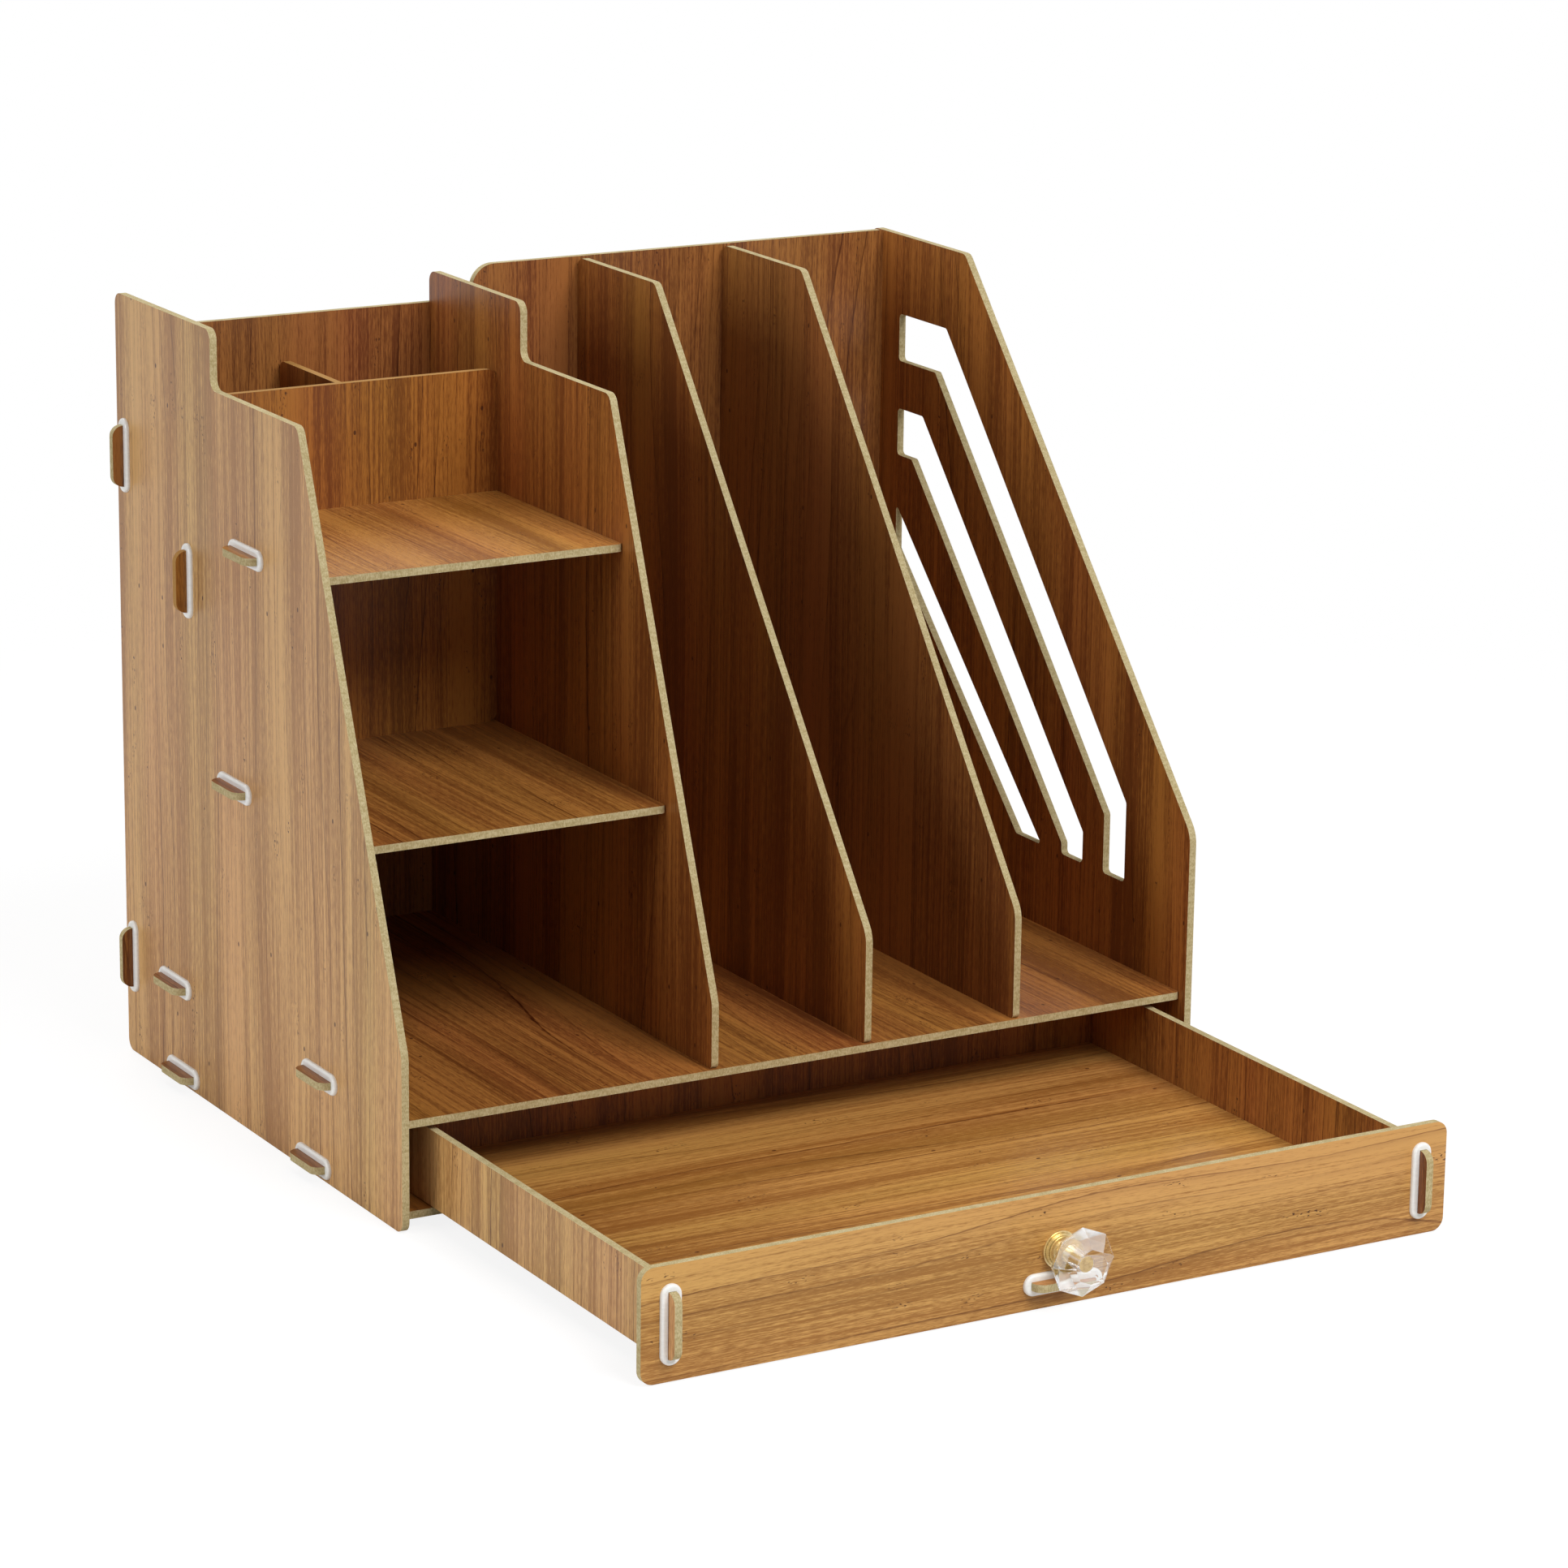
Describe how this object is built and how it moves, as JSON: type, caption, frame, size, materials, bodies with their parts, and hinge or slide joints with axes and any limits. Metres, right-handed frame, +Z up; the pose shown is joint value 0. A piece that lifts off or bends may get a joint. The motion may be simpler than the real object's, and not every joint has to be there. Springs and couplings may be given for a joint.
{
  "type": "desk organizer",
  "caption": "Flat-board desk organizer with file slots, open shelves, pen boxes, slanted cut-outs in one side and a sliding drawer with a faceted crystal knob.",
  "frame": {"origin": "on the table under the middle of the whole object with its drawer open as in the picture", "axes": "+Z up, +Y from the drawer's knob towards the back, +X to the right as seen from the front"},
  "size_m": [0.362, 0.451, 0.3125],
  "materials": {
    "veneered_board": "satin",
    "clip_plastic": "gloss",
    "polished_brass": "polished",
    "clear_crystal": "polished",
    "plated_steel": "satin"
  },
  "bodies": {
    "carcass": {"left_panel": "veneered_board", "right_panel": "veneered_board", "middle_partition": "veneered_board", "file_divider_left": "veneered_board", "file_divider_right": "veneered_board", "back_panel": "veneered_board", "bottom_panel": "veneered_board", "main_shelf": "veneered_board", "second_shelf": "veneered_board", "top_shelf": "veneered_board", "pen_front": "veneered_board", "pen_divider": "veneered_board", "left_panel_clips": "clip_plastic", "right_panel_clips": "clip_plastic", "partition_clips": "clip_plastic", "back_panel_clips": "clip_plastic"},
    "drawer": {"drawer_front": "veneered_board", "drawer_rear": "veneered_board", "drawer_side_left": "veneered_board", "drawer_side_right": "veneered_board", "drawer_bottom": "veneered_board", "drawer_front_clips": "clip_plastic", "knob_base": "polished_brass", "knob_crystal": "clear_crystal", "knob_screw": "plated_steel"}
  },
  "joints": [
    {"name": "drawer_slide", "type": "slide", "parent": "carcass", "child": "drawer", "axis": [0, -1, 0], "range_m": [-0.1775, 0.04]}
  ]
}
